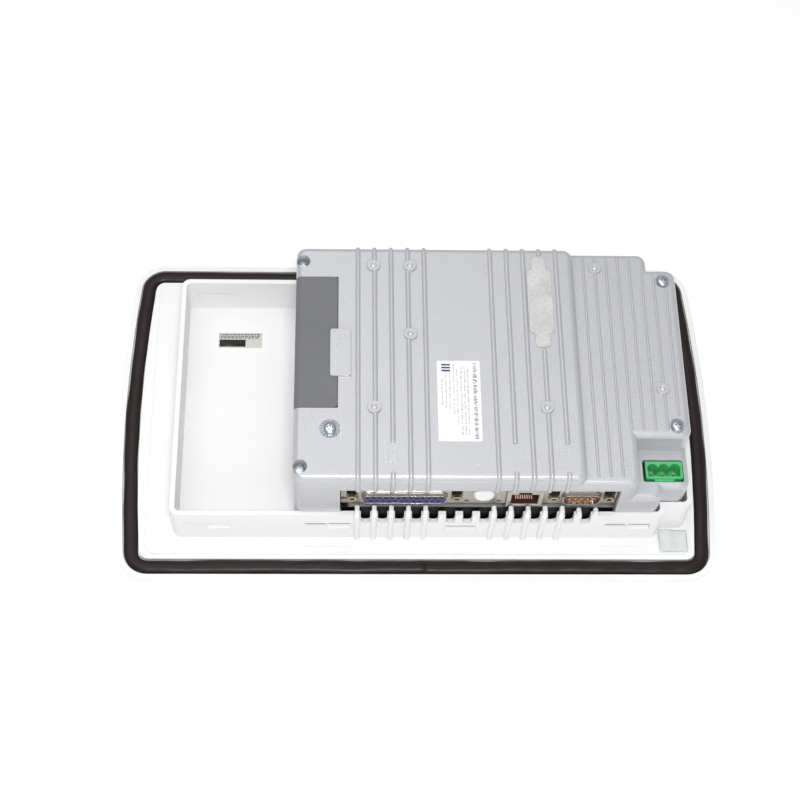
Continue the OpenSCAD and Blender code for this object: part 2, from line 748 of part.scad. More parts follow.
module cover_hollow() {
    t = cover_t;
    top = cover_z - t;
    low = low_z - t;
    block(main_x0 + t, cover_y0 + t, 0, main_x1 - t, main_y1 - t, top);
    block(0, cover_y0 + t, 0, shelf_x - t, low_y1 - t, low);
    block(0, shelf_y + t, 0, low_x1 - t, low_back_y - t, low);
    block(0, 0, 0, low_back_x - t, low_y1 - t, low);
    block(60, cover_y0 + t, 0, low_step_x - t, 0, shelf_z - t);
    block(60, low_front_y + t, 0, low_x1 - t, 0, shelf_z - t);
}

module rear_cover() color([0.78, 0.78, 0.8]) difference() {
    union() {
        difference() {
            union() {
                slab(main_x0, main_x1, cover_y0, main_y1, cover_z);
                slab(inner_x, shelf_x, cover_y0, low_y1, low_z);
                slab(inner_x, low_x1, shelf_y, low_back_y, low_z);
                slab(inner_x, low_back_x, 0, low_y1, low_z);
                slab(inner_x, low_step_x, cover_y0, 10, shelf_z);
                slab(inner_x, low_x1, low_front_y, 10, shelf_z);
            }
            difference() {
                cover_hollow();
                for (p = concat(left_screws, right_screws))
                    translate([p.x, p.y, 0]) cylinder(r = tower_r + 0.8, h = cover_z);
                translate([ground_x, ground_y, cover_z - 10]) cylinder(r = 5, h = 10);
            }
        }
        main_ribs();
        fine_ribs();
        for (p = high_bosses) translate([p.x, p.y, cover_z - 1]) cylinder(r = 3, h = 2.2);
        for (p = low_bosses) translate([p.x, p.y, low_z - 1]) cylinder(r = 3, h = 1.9);
        rbox(tab_x0, tab_y0, cover_z + 0.2, tab_x1, tab_y1, cover_z + tab_h, 1);
        block(door_x + 0.5, tab_y0, cover_z - 1, tab_x1, tab_y1, cover_z + 0.3);
    }
    // opening for the connectors
    block(opening_x0, cover_y0 - 6, 0, opening_x1, cover_y0 + cover_t + 1, opening_z);
    // recess and bay mouth for the card door
    block(main_x0 - 1, door_y0 - door_gap, cover_z - cover_t - 0.1, door_x + door_gap,
          door_y1 + door_gap, cover_z + 0.19);
    block(main_x0 - 1, door_y0 - door_gap, door_z0 - door_gap, main_x0 + cover_t + 0.2,
          door_y1 + door_gap, cover_z);
    // conical centre holes of the round bosses
    for (p = high_bosses) translate([p.x, p.y, cover_z - 0.3]) cylinder(r1 = 0.4, r2 = 1.6, h = 1.6);
    for (p = low_bosses) translate([p.x, p.y, low_z - 0.3]) cylinder(r1 = 0.4, r2 = 1.6, h = 1.3);
    // screw pockets and clearance holes
    for (p = left_screws) translate([p.x, p.y, pocket_z]) cylinder(r = pocket_r, h = 20);
    for (p = concat(left_screws, right_screws)) {
        translate([p.x, p.y, 0]) cylinder(r = screw_r + 0.3, h = 80);
        translate([p.x, p.y, 0]) cylinder(r = tower_r + 3, h = boss_z + 0.2);
    }
    for (p = right_screws) translate([p.x, p.y, low_z - seat_depth]) cylinder(r = 3.6, h = 5);
    translate([ground_x, ground_y, cover_z - seat_depth]) cylinder(r = 4.6, h = 5);
    translate([ground_x, ground_y, cover_z - 14]) cylinder(r = 1.6, h = 20);
    // opening around the power header, and the opening under the expansion blank
    rbox(header_x - header_l / 2 - 1.1, header_y0 - 1.3, 30, header_x + header_l / 2 + 0.5,
         header_y1 + 1.1, shelf_z + 1, 1);
    rbox(53.5, 14, 40, 58.9, 45, cover_z + 1, 1);
    // lip: below the rim the casting steps in to clear the walls
    block(lip_x0, wall_y0, 0, wall_x1, lip_y0, rest_z);
    block(lip_x0, lip_y1, 0, wall_x1, wall_y1, rest_z);
    block(lip_short_x, main_y1 - cover_t - 1, 0, wall_x1, wall_y1, lip_z);
    block(step_x - wall_t - lip_gap, wall_y0, 0, wall_x1, step_y + wall_t + lip_gap, rest_z);
}

module pan_screw(r, head_h, shank) {
    difference() {
        union() {
            cylinder(r1 = r, r2 = r * 0.75, h = head_h);
            translate([0, 0, -shank]) cylinder(r = screw_r - 0.02, h = shank);
        }
        translate([-0.4, -r * 0.6, head_h - 0.9]) cube([0.8, r * 1.2, 2]);
        translate([-r * 0.6, -0.4, head_h - 0.9]) cube([r * 1.2, 0.8, 2]);
    }
}

module cover_screws() color([0.72, 0.78, 0.82]) {
    for (p = left_screws) translate([p.x, p.y, pocket_z]) pan_screw(2.8, 2, pocket_z - 7);
    for (p = right_screws) translate([p.x, p.y, low_z - seat_depth]) pan_screw(3, 2.2, low_z - 7.6);
}

module ground_screw() color([0.72, 0.78, 0.82]) translate([ground_x, ground_y, cover_z - seat_depth]) {
    cylinder(r = 4.2, h = 0.7);
    translate([0, 0, 0.7]) pan_screw(3, 1.9, 8);
}

module rating_label() color("white") rbox(7.1, -43.8, cover_z, 26.7, -2.7, cover_z + 0.12, 0.8);

module serial_sticker() color([0.75, 0.75, 0.72])
    rbox(-96.6, 36.3, floor_z, -75.2, 44.7, floor_z + 0.12, 0.4);

module clear_film() color([0.9, 0.97, 0.93, 0.5])
    rbox(film[0], film[1], platform_z - film_well, film[2], film[3], platform_z - 0.1, 0.5);

// door over the bay: a top plate, a rounded edge and a side plate that leans with the cover
module card_door() color([0.49, 0.49, 0.5]) {
    top = cover_z - edge_r;
    block(main_x0, door_y0, door_z0, main_x0 + door_t, door_y1, top);
    translate([0, 0, cover_z - door_t]) linear_extrude(door_t) {
        rrect(main_x0 + 6, door_y0, door_x, door_y1, 1.5);
        translate([main_x0 + edge_r, door_y0]) square([10, door_y1 - door_y0]);
    }
    translate([0, door_y1, 0]) rotate([90, 0, 0]) linear_extrude(door_y1 - door_y0)
        translate([main_x0 + edge_r, top]) intersection() {
            difference() {
                circle(edge_r);
                circle(edge_r - door_t);
            }
            translate([-edge_r, 0]) square([edge_r, edge_r]);
        }
}

bezel_housing();
panel_gasket();
front_overlay();
key_spacer();
snap_domes();
key_circuit();
touch_screen();
lcd_panel();
lcd_frame();
display_board();
board_standoffs();
logic_board();
io_bracket();
serial25_shell();
serial25_insulator();
serial9_shell();
serial9_insulator();
serial9_pins();
ethernet_jack();
ethernet_contacts();
port_plug();
jackscrews();
power_header();
power_pins();
card_bay();
memory_card();
battery();
expansion_header();
expansion_cover();
rear_cover();
cover_screws();
ground_screw();
rating_label();
serial_sticker();
clear_film();
card_door();
function_key(0);  // key_f1
function_key(1);  // key_f2
function_key(2);  // key_f3
function_key(3);  // key_f4
function_key(4);  // key_f5
function_key(5);  // key_f6
function_key(6);  // key_f7
function_key(7);  // key_f8
digit_key(0, 0);  // key_7
digit_key(1, 0);  // key_8
digit_key(2, 0);  // key_9
digit_key(0, 1);  // key_4
digit_key(1, 1);  // key_5
digit_key(2, 1);  // key_6
digit_key(0, 2);  // key_1
digit_key(1, 2);  // key_2
digit_key(2, 2);  // key_3
digit_key(0, 3);  // key_dot
digit_key(1, 3);  // key_0
digit_key(2, 3);  // key_enter
arrow_key(1, 0);  // key_left
arrow_key(0, 1);  // key_up
arrow_key(-1, 0);  // key_right
arrow_key(0, -1);  // key_down
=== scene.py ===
"""Looks of an operator terminal lying on its face: materials, studio and the detailed pieces."""
import json
import math
import random

import bmesh
import bpy
from mathutils import Matrix, Vector


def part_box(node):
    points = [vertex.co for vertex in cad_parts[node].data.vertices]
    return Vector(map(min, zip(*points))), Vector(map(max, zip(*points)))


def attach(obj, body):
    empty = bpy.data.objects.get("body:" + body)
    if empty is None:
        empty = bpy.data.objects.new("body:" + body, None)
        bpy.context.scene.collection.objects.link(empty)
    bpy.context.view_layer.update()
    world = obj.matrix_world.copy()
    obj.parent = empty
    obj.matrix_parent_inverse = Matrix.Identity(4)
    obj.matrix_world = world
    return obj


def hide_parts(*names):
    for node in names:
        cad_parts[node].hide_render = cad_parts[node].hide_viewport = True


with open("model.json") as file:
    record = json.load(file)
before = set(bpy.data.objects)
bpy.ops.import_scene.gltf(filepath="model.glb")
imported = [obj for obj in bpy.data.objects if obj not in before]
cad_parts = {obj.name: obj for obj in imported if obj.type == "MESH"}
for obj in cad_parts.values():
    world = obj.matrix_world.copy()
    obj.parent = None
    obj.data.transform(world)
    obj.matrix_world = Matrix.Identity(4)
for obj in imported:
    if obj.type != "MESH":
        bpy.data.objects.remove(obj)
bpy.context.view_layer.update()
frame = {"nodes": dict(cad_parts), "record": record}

MM = 0.001
NODES = frame["nodes"]
ROOT = "root"
PRINT, PRINT_EDGE = 0.03, 0.01  # thickness of printing and rounding of its edge, in millimetres
MAIN_TOP, LOW_TOP = 62.0, 57.5  # heights of the cover's two levels, in millimetres


# ---------------------------------------------------------------- materials

def new_tree(name):
    """A new material, with its node tree and its shader."""
    material = bpy.data.materials.new(name)
    material.use_nodes = True
    tree = material.node_tree
    shader = tree.nodes["Principled BSDF"]
    return material, tree, shader


def add(tree, kind, **values):
    """A new node, with each value on the socket or the setting of that name."""
    node = tree.nodes.new(kind)
    for key, value in values.items():
        if key in node.inputs:
            node.inputs[key].default_value = value
        else:
            setattr(node, key, value)
    return node


def object_coords(tree):
    """The place in the object's own space, which moves with the piece."""
    return add(tree, "ShaderNodeTexCoord").outputs["Object"]


def noise(tree, vector, scale, detail=3.0):
    """A 0..1 noise pattern with scale cells to the metre."""
    node = add(tree, "ShaderNodeTexNoise", Scale=scale, Detail=detail, Roughness=0.55)
    tree.links.new(vector, node.inputs["Vector"])
    return node.outputs["Fac"]


def ramp(tree, value, low, high):
    """Turns the middle of a 0..1 pattern into a blend from the RGB colour low to high."""
    node = add(tree, "ShaderNodeValToRGB")
    first, last = node.color_ramp.elements
    first.position, last.position = 0.35, 0.65
    first.color, last.color = (*low, 1), (*high, 1)
    tree.links.new(value, node.inputs["Fac"])
    return node.outputs["Color"]


def spread(tree, value, low, high):
    """Maps a 0..1 pattern to low..high."""
    node = add(tree, "ShaderNodeMapRange")
    node.inputs["To Min"].default_value = low
    node.inputs["To Max"].default_value = high
    tree.links.new(value, node.inputs["Value"])
    return node.outputs["Result"]


def multiply(tree, first, second):
    """The product of two colours."""
    node = add(tree, "ShaderNodeMix", data_type="RGBA", blend_type="MULTIPLY")
    factor, colour_a, colour_b = node.inputs[0], node.inputs[6], node.inputs[7]
    factor.default_value = 1.0
    tree.links.new(first, colour_a)
    tree.links.new(second, colour_b)
    return node.outputs[2]


def bump(tree, shader, height, distance, edge=0.0):
    """Bump from a pattern, over corners softened by edge metres."""
    node = add(tree, "ShaderNodeBump", Strength=1.0, Distance=distance)
    tree.links.new(height, node.inputs["Height"])
    if edge:
        soft = add(tree, "ShaderNodeBevel", samples=4, Radius=edge)
        tree.links.new(soft.outputs["Normal"], node.inputs["Normal"])
    tree.links.new(node.outputs["Normal"], shader.inputs["Normal"])


def shade(colour, factor):
    """A colour made darker or lighter."""
    return tuple(c * factor for c in colour)


def grained(name, colour, rough=(0.4, 0.5), metallic=0.0, grain=900.0, depth=0.02 * MM,
            contrast=0.06, smudge=0.05, smudge_scale=25.0, edge=0.25 * MM, specular=0.5, coat=0.0):
    """A solid colour with fine grain, broad tonal drift, uneven gloss and softened corners."""
    material, tree, shader = new_tree(name)
    where = object_coords(tree)
    fine = noise(tree, where, grain)
    broad = noise(tree, where, smudge_scale, detail=4.0)
    grain_colour = ramp(tree, fine, shade(colour, 1 - contrast), shade(colour, 1 + contrast))
    drift = ramp(tree, broad, (1 - smudge,) * 3, (1.0, 1.0, 1.0))
    tree.links.new(multiply(tree, grain_colour, drift), shader.inputs["Base Color"])
    tree.links.new(spread(tree, broad, *rough), shader.inputs["Roughness"])
    shader.inputs["Metallic"].default_value = metallic
    shader.inputs["Specular IOR Level"].default_value = specular
    shader.inputs["Coat Weight"].default_value = coat
    bump(tree, shader, fine, depth, edge=edge)
    return material


# ---------------------------------------------------------------- camera and studio

AZIMUTH, ELEVATION, ROLL = (math.radians(v) for v in (-4.090, 61.283, 3.875))
TARGET = Vector((-8.085, -0.148, 20.0)) * MM
BACK = Vector((math.sin(AZIMUTH) * math.cos(ELEVATION),
               -math.cos(AZIMUTH) * math.cos(ELEVATION), math.sin(ELEVATION)))


def make_camera():
    """The view from the connector side and above, a little to the left of the centre line."""
    distance = 790.765 * MM
    lens_mm, sensor_mm = 74.7666, 36.0
    right = Vector((math.cos(AZIMUTH), math.sin(AZIMUTH), 0.0))
    up = BACK.cross(right)
    axis_x = right * math.cos(ROLL) + up * math.sin(ROLL)
    axis_y = up * math.cos(ROLL) - right * math.sin(ROLL)
    data = bpy.data.cameras.new("camera")
    data.sensor_width = sensor_mm
    data.lens = lens_mm
    camera = bpy.data.objects.new("camera", data)
    bpy.context.scene.collection.objects.link(camera)
    turn = Matrix((axis_x, axis_y, BACK)).transposed().to_4x4()
    camera.matrix_world = Matrix.Translation(TARGET + BACK * distance) @ turn
    bpy.context.scene.camera = camera


def area_light(name, place, aim, size, watts, colour=(1.0, 1.0, 1.0)):
    """A rectangular soft light at place, turned towards aim."""
    data = bpy.data.lights.new(name, "AREA")
    data.shape = "RECTANGLE"
    data.size, data.size_y = size
    data.energy = watts
    data.color = colour
    light = bpy.data.objects.new(name, data)
    light.location = place
    light.rotation_euler = (Vector(aim) - Vector(place)).to_track_quat("-Z", "Y").to_euler()
    bpy.context.scene.collection.objects.link(light)


def make_studio():
    """Even pale surroundings, two large softboxes and a small flash near the camera."""
    scene = bpy.context.scene
    world = bpy.data.worlds.new("studio")
    scene.world = world
    world.use_nodes = True
    background = world.node_tree.nodes["Background"]
    background.inputs["Color"].default_value = (0.96, 0.98, 1.0, 1)
    background.inputs["Strength"].default_value = 0.40
    scene.view_settings.view_transform = "Standard"
    area_light("overhead_softbox", place=(-0.25, 0.25, 1.3), aim=(0, 0, 0), size=(1.4, 1.2), watts=6.6)
    area_light("front_softbox", place=(0.05, -1.15, 0.62), aim=(0, 0, 0.03), size=(1.5, 0.35), watts=3.4)
    area_light("camera_flash", place=TARGET + BACK * 0.95 + Vector((0.03, 0.0, 0.10)), aim=TARGET,
               size=(0.20, 0.12), watts=5.0, colour=(1.0, 0.99, 0.98))


def make_floor():
    """White paper, just clear of the bezel's face."""
    half, clearance = 3.0, 0.0002
    data = bpy.data.meshes.new("floor")
    data.from_pydata([(-half, -half, 0), (half, -half, 0), (half, half, 0), (-half, half, 0)],
                     [], [(0, 1, 2, 3)])
    floor = bpy.data.objects.new("floor", data)
    floor.location.z = -clearance
    bpy.context.scene.collection.objects.link(floor)
    material, tree, shader = new_tree("floor_white")
    paper = noise(tree, object_coords(tree), 6.0)
    tree.links.new(ramp(tree, paper, (0.97, 0.97, 0.97), (0.99, 0.99, 0.99)),
                   shader.inputs["Base Color"])
    shader.inputs["Roughness"].default_value = 0.9
    shader.inputs["Emission Color"].default_value = (1, 1, 1, 1)
    shader.inputs["Emission Strength"].default_value = 0.06
    data.materials.append(material)


# ---------------------------------------------------------------- finishes

SURFACES = {
    "bezel_white": dict(colour=(0.86, 0.86, 0.86), rough=(0.38, 0.48), grain=1500, depth=0.01 * MM,
                        contrast=0.012, smudge=0.02, edge=0.35 * MM),
    "gasket_rubber": dict(colour=(0.021, 0.012, 0.0115), rough=(0.26, 0.4), grain=2500,
                          depth=0.04 * MM, contrast=0.2, smudge=0.2, smudge_scale=60, specular=0.24),
    "cast_silver": dict(colour=(0.53, 0.535, 0.56), rough=(0.25, 0.32), metallic=0.25, grain=2600,
                        depth=0.03 * MM, contrast=0.10, smudge=0.03, edge=0.3 * MM),
    "door_grey": dict(colour=(0.165, 0.168, 0.178), rough=(0.5, 0.6), grain=2200, depth=0.02 * MM,
                      contrast=0.08, smudge=0.08),
    "screw_zinc": dict(colour=(0.6, 0.66, 0.70), rough=(0.22, 0.34), metallic=1.0, grain=1200,
                       contrast=0.05, smudge=0.1, edge=0.1 * MM),
    "sheet_steel": dict(colour=(0.62, 0.62, 0.6), rough=(0.3, 0.42), metallic=1.0, grain=700),
    "board_green": dict(colour=(0.02, 0.13, 0.05), rough=(0.3, 0.4), grain=300, contrast=0.3,
                        smudge=0.2, coat=0.3),
    "bracket_plate": dict(colour=(0.50, 0.465, 0.42), rough=(0.3, 0.42), metallic=0.55, grain=800,
                          contrast=0.08, smudge=0.12),
    "shell_nickel": dict(colour=(0.70, 0.69, 0.68), rough=(0.18, 0.3), metallic=1.0, grain=900,
                         contrast=0.04, smudge=0.12, edge=0.15 * MM),
    "insulator_violet": dict(colour=(0.042, 0.03, 0.145), rough=(0.4, 0.5), grain=1200, contrast=0.25),
    "insulator_amber": dict(colour=(0.15, 0.04, 0.012), rough=(0.25, 0.35), grain=1200, contrast=0.1),
    "contact_gold": dict(colour=(0.85, 0.58, 0.2), rough=(0.18, 0.3), metallic=1.0, grain=900),
    "plug_white": dict(colour=(0.88, 0.88, 0.87), rough=(0.25, 0.33), grain=900, contrast=0.01),
    "jack_metal": dict(colour=(0.60, 0.56, 0.50), rough=(0.26, 0.38), metallic=0.8, grain=900),
    "standoff_brass": dict(colour=(0.55, 0.48, 0.33), rough=(0.25, 0.36), metallic=1.0, grain=900),
    "header_green": dict(colour=(0.07, 0.50, 0.16), rough=(0.2, 0.3), grain=900, contrast=0.04,
                         smudge=0.08, coat=0.2),
    "pin_tin": dict(colour=(0.30, 0.30, 0.29), rough=(0.3, 0.4), metallic=1.0, grain=900),
    "bay_plastic": dict(colour=(0.03, 0.03, 0.033), rough=(0.45, 0.6), grain=1500, contrast=0.15),
    "card_blue": dict(colour=(0.04, 0.10, 0.27), rough=(0.3, 0.4), grain=1200),
    "blank_grey": dict(colour=(0.60, 0.60, 0.59), rough=(0.5, 0.62), grain=700, contrast=0.08,
                       smudge=0.15, smudge_scale=120),
    "overlay_film": dict(colour=(0.10, 0.115, 0.135), rough=(0.42, 0.5), grain=3000, depth=0.02 * MM,
                         contrast=0.12),
    "spacer_film": dict(colour=(0.7, 0.7, 0.66), rough=(0.5, 0.6), grain=1500),
    "circuit_film": dict(colour=(0.6, 0.45, 0.16), rough=(0.3, 0.4), grain=500, contrast=0.2),
    "screen_glass": dict(colour=(0.02, 0.024, 0.028), rough=(0.05, 0.09), grain=60, contrast=0.1,
                         depth=0.002 * MM, coat=1.0),
    "lcd_dark": dict(colour=(0.012, 0.014, 0.018), rough=(0.2, 0.3), grain=500),
    "key_light": dict(colour=(0.74, 0.75, 0.74), rough=(0.45, 0.55), grain=1800, contrast=0.04),
    "key_mid": dict(colour=(0.34, 0.38, 0.42), rough=(0.45, 0.55), grain=1800, contrast=0.05),
    "label_white": dict(colour=(0.9, 0.9, 0.9), rough=(0.3, 0.4), grain=1500, contrast=0.01),
    "sticker_silver": dict(colour=(0.55, 0.55, 0.5), rough=(0.3, 0.4), metallic=0.5, grain=900),
    "film_clear": dict(colour=(0.82, 0.92, 0.86), rough=(0.15, 0.25), grain=400),
    # finishes of pieces that only this file makes
    # darker copy of the screw's zinc: painted shade round the ground screw's head
    "washer_zinc_painted_shade": dict(colour=(0.44, 0.48, 0.50), rough=(0.4, 0.52), metallic=1.0, grain=1200,
                        contrast=0.12, smudge=0.12, edge=0.08 * MM),
    "label_ink": dict(colour=(0.30, 0.30, 0.31), rough=(0.45, 0.55), grain=1800),
    "label_navy": dict(colour=(0.05, 0.06, 0.16), rough=(0.4, 0.5), grain=1800),
    "sticker_ink": dict(colour=(0.015, 0.015, 0.016), rough=(0.4, 0.5), grain=1500),
    # lighter than cast_silver: painted highlight on the raised cast strokes
    "cast_painted_highlight": dict(colour=(0.64, 0.645, 0.665), rough=(0.3, 0.38), metallic=0.25, grain=2600,
                        depth=0.01 * MM, contrast=0.04, edge=0.1 * MM),
    # much lighter than cast_silver: painted highlight on the boss centres
    "boss_painted_highlight": dict(colour=(0.80, 0.80, 0.82), rough=(0.2, 0.28), metallic=0.3, grain=2600,
                       depth=0.01 * MM, contrast=0.04, edge=0.1 * MM),
    "film_edge": dict(colour=(0.40, 0.55, 0.47), rough=(0.2, 0.3), grain=200, contrast=0.4),
    # near black: painted shade behind the comb's fingers
    "sheet_painted_shade": dict(colour=(0.004, 0.003, 0.006), rough=(0.5, 0.6), grain=900, specular=0.2),
    "jack_plastic": dict(colour=(0.05, 0.022, 0.018), rough=(0.3, 0.4), grain=900),
    "jack_copper": dict(colour=(1.0, 0.62, 0.46), rough=(0.3, 0.4), metallic=0.15, grain=900),
    # darker than the violet insulator: painted shade in the contact holes
    "funnel_painted_shade": dict(colour=(0.012, 0.008, 0.03), rough=(0.4, 0.5), grain=900),
    # dark strips: painted shadow at the top of the wall slots
    "slot_shadow": dict(colour=(0.05, 0.05, 0.06), rough=(0.6, 0.7), grain=900),
    "legend_light": dict(colour=(0.8, 0.82, 0.82), rough=(0.5, 0.6), grain=1800),
    "legend_dark": dict(colour=(0.03, 0.035, 0.04), rough=(0.5, 0.6), grain=1800),
    "overlay_ink": dict(colour=(0.5, 0.53, 0.55), rough=(0.5, 0.6), grain=1800),
}
SAME_STEEL = ("dome_steel", "battery_steel")


def make_finishes():
    """Every finish, by its name."""
    finishes = {name: grained(name, **values) for name, values in SURFACES.items()}
    for name in SAME_STEEL:
        finishes[name] = finishes["sheet_steel"]
    finishes["film_lifted"] = clear_film_material()
    return finishes


def paint_nodes(finishes):
    """Gives every CAD node the finish that its row in the record names."""
    for row in frame["record"]["subparts"]:
        data = NODES[row["node"]].data
        data.materials.clear()
        data.materials.append(finishes[row["material_slot"]])


def clear_film_material():
    """Clear plastic, with faint milky streaks."""
    material, tree, shader = new_tree("film_lifted")
    where = object_coords(tree)
    streaks = noise(tree, where, 90.0, detail=4.0)
    tree.links.new(ramp(tree, streaks, (0.78, 0.82, 0.80), (0.90, 0.92, 0.90)),
                   shader.inputs["Base Color"])
    tree.links.new(spread(tree, streaks, 0.08, 0.2), shader.inputs["Roughness"])
    tree.links.new(spread(tree, streaks, 0.25, 0.6), shader.inputs["Alpha"])
    bump(tree, shader, streaks, 0.05 * MM)
    return material


# ---------------------------------------------------------------- mesh tools

def rounded(x0, y0, x1, y1, r, steps=5):
    """Points round a rectangle with rounded corners."""
    points = []
    corners = ((x1 - r, y1 - r), (x0 + r, y1 - r), (x0 + r, y0 + r), (x1 - r, y0 + r))
    for start, (cx, cy) in enumerate(corners):
        for k in range(steps + 1):
            angle = math.pi / 2 * (start + k / steps)
            points.append((cx + r * math.cos(angle), cy + r * math.sin(angle)))
    return points


def ring(bm, outline, z):
    """A level ring of vertices, in metres."""
    return [bm.verts.new((x, y, z)) for x, y in outline]


def loft(bm, rings, closed=True):
    """Skin through rings of the same length, with or without end faces."""
    for low, high in zip(rings, rings[1:]):
        count = len(low)
        for i in range(count):
            j = (i + 1) % count
            bm.faces.new((low[i], low[j], high[j], high[i]))
    if closed:
        bm.faces.new(list(reversed(rings[0])))
        bm.faces.new(rings[-1])


def soft_block(bm, x0, y0, x1, y1, z0, z1, r, soft, steps=3, turns=5):
    """Plate from z0 to z1 with rounded corners and a rounded edge at z1, all in millimetres."""
    x0, y0, x1, y1, z0, z1, r, soft = (v * MM for v in (x0, y0, x1, y1, z0, z1, r, soft))
    side = 1 if z1 > z0 else -1
    rings = [ring(bm, rounded(x0, y0, x1, y1, r, turns), z0)]
    for k in range(steps + 1):
        angle = math.pi / 2 * k / steps
        inset = soft * (1 - math.cos(angle))
        outline = rounded(x0 + inset, y0 + inset, x1 - inset, y1 - inset,
                          max(r - inset, r * 0.2), turns)
        rings.append(ring(bm, outline, z1 - side * soft * (1 - math.sin(angle))))
    loft(bm, rings)


def lathe(bm, profile, centre, steps=40):
    """Turned shape from (radius, height) pairs in millimetres, round a vertical axis at centre.

    A point on the axis becomes a ring of radius pole, so that every ring has the same length."""
    pole = 0.01
    rings = []
    for radius, height in profile:
        radius = max(radius, pole)
        rings.append([bm.verts.new((
            (centre[0] + radius * math.cos(2 * math.pi * k / steps)) * MM,
            (centre[1] + radius * math.sin(2 * math.pi * k / steps)) * MM,
            (centre[2] + height) * MM)) for k in range(steps)])
    loft(bm, rings)


def finish_piece(name, bm, material, body=ROOT, hides=(), smooth=40.0):
    """Turns a bmesh into a piece that rides on a body."""
    bmesh.ops.recalc_face_normals(bm, faces=bm.faces)
    data = bpy.data.meshes.new(name)
    bm.to_mesh(data)
    bm.free()
    data.materials.append(material)
    data.shade_smooth()
    data.set_sharp_from_angle(angle=math.radians(smooth))
    piece = bpy.data.objects.new(name, data)
    bpy.context.scene.collection.objects.link(piece)
    if hides:
        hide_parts(*hides)
    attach(piece, body)
    return piece


def node_box(name):
    """A CAD node's box in millimetres."""
    low_corner, high_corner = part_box(name)
    return [v / MM for v in low_corner], [v / MM for v in high_corner]


# ---------------------------------------------------------------- gasket

# the bezel's outline in millimetres: its half sizes, its bowed ends and its corner radius
BEZEL_HALF_L, BEZEL_HALF_W = 142.5, 85.3
SIDE_BOW, BOW_CHORD, BEZEL_R = 3.7, 75.0, 14.5


def bezel_path(inset, spacing=1.5):
    """Closed run of (x, y, normal x, normal y) along the bezel's outline moved in by inset."""
    bow_r = (BOW_CHORD ** 2 + SIDE_BOW ** 2) / (2 * SIDE_BOW)
    r = BEZEL_R - inset
    side_r = bow_r - inset
    side_c = BEZEL_HALF_L - bow_r
    half_w = BEZEL_HALF_W - inset
    cy = half_w - r
    cx = side_c + math.sqrt((side_r - r) ** 2 - cy ** 2)
    lean = math.asin(cy / (side_r - r))
    path = []

    def arc(x, y, radius, start, end):
        """Adds the points of an arc, without its last one."""
        count = max(2, int(abs(end - start) * radius / spacing))
        for k in range(count):
            angle = start + (end - start) * k / count
            nx, ny = math.cos(angle), math.sin(angle)
            path.append((x + radius * nx, y + radius * ny, nx, ny))

    def straight(x_from, x_to, y, ny):
        """Adds the points of a straight long side, without its last one."""
        count = int(abs(x_to - x_from) / spacing)
        for k in range(count):
            path.append((x_from + (x_to - x_from) * k / count, y, 0.0, ny))

    quarter = math.pi / 2
    arc(side_c, 0, side_r, -lean, lean)
    arc(cx, cy, r, lean, quarter)
    straight(cx, -cx, half_w, 1.0)
    arc(-cx, cy, r, quarter, 2 * quarter - lean)
    arc(-side_c, 0, side_r, 2 * quarter - lean, 2 * quarter + lean)
    arc(-cx, -cy, r, 2 * quarter + lean, 3 * quarter)
    straight(-cx, cx, -half_w, -1.0)
    arc(cx, -cy, r, 3 * quarter, 4 * quarter - lean)
    return path


def make_gasket(material):
    """Crowned rubber strip in its groove, slightly uneven, with a butt joint on the near side."""
    low, high = node_box("panel_gasket")
    width, butt_x, half_gap = 6.6, 3.0, 0.06
    slack, top_slack, end_droop = 0.2, 0.16, 0.35
    path = bezel_path(BEZEL_HALF_W + low[1] + width / 2)
    near_side = [i for i, (_, _, _, ny) in enumerate(path) if ny < -0.99]
    start = min(near_side, key=lambda i: abs(path[i][0] - butt_x))
    near_y = path[start][1]
    path = [(butt_x + half_gap, near_y, 0.0, -1.0)] + path[start + 1:] + path[:start]
    path.append((butt_x - half_gap, near_y, 0.0, -1.0))
    half = [(0.5, 0.0), (0.5, 0.42), (0.47, 0.62), (0.38, 0.82), (0.22, 0.95), (0.0, 1.0)]
    profile = [(-across, up) for across, up in half] + half[-2::-1]
    ends = (0, len(path) - 1)
    bm = bmesh.new()
    rings = []
    for i, (x, y, nx, ny) in enumerate(path):
        # long and short waves along the strip, sideways, in height and in width
        sway = 0.14 * math.sin(i * 0.11) + 0.08 * math.sin(i * 0.37 + 1.0)
        lift = 0.10 * math.sin(i * 0.23 + 2.0) + 0.06 * math.sin(i * 0.71)
        wide = width * (1.0 + 0.03 * math.sin(i * 0.17 + 0.5)) - slack
        tall = high[2] - low[2] - top_slack + lift - (end_droop if i in ends else 0.0)
        rings.append([bm.verts.new(((x + nx * (wide * across + sway)) * MM,
                                    (y + ny * (wide * across + sway)) * MM,
                                    (low[2] + tall * up) * MM)) for across, up in profile])
    loft(bm, rings)
    finish_piece("gasket_strip", bm, material, hides=("panel_gasket",), smooth=60)


# ---------------------------------------------------------------- screws

def screw_places(name):
    """(x, y, seat height, head radius, head height) of each head of a screw node, from its vertices."""
    apart = 10.0
    deep_head_t, pan_head_t = 2.0, 2.2
    ground_head_r, ground_head_t, ground_washers_t = 3.0, 1.9, 0.7
    heads = []
    for point in [v.co / MM for v in NODES[name].data.vertices]:
        for head in heads:
            if math.hypot(head[0].x - point.x, head[0].y - point.y) < apart:
                head.append(point)
                break
        else:
            heads.append([point])
    places = []
    for head in heads:
        xs, ys, zs = zip(*head)
        x, y, top = (min(xs) + max(xs)) / 2, (min(ys) + max(ys)) / 2, max(zs)
        if name == "ground_screw":
            places.append((x, y, top - ground_head_t - ground_washers_t, ground_head_r, ground_head_t))
        else:
            tall = deep_head_t if x < 0 else pan_head_t
            places.append((x, y, top - tall, (max(xs) - min(xs)) / 2, tall))
    return places


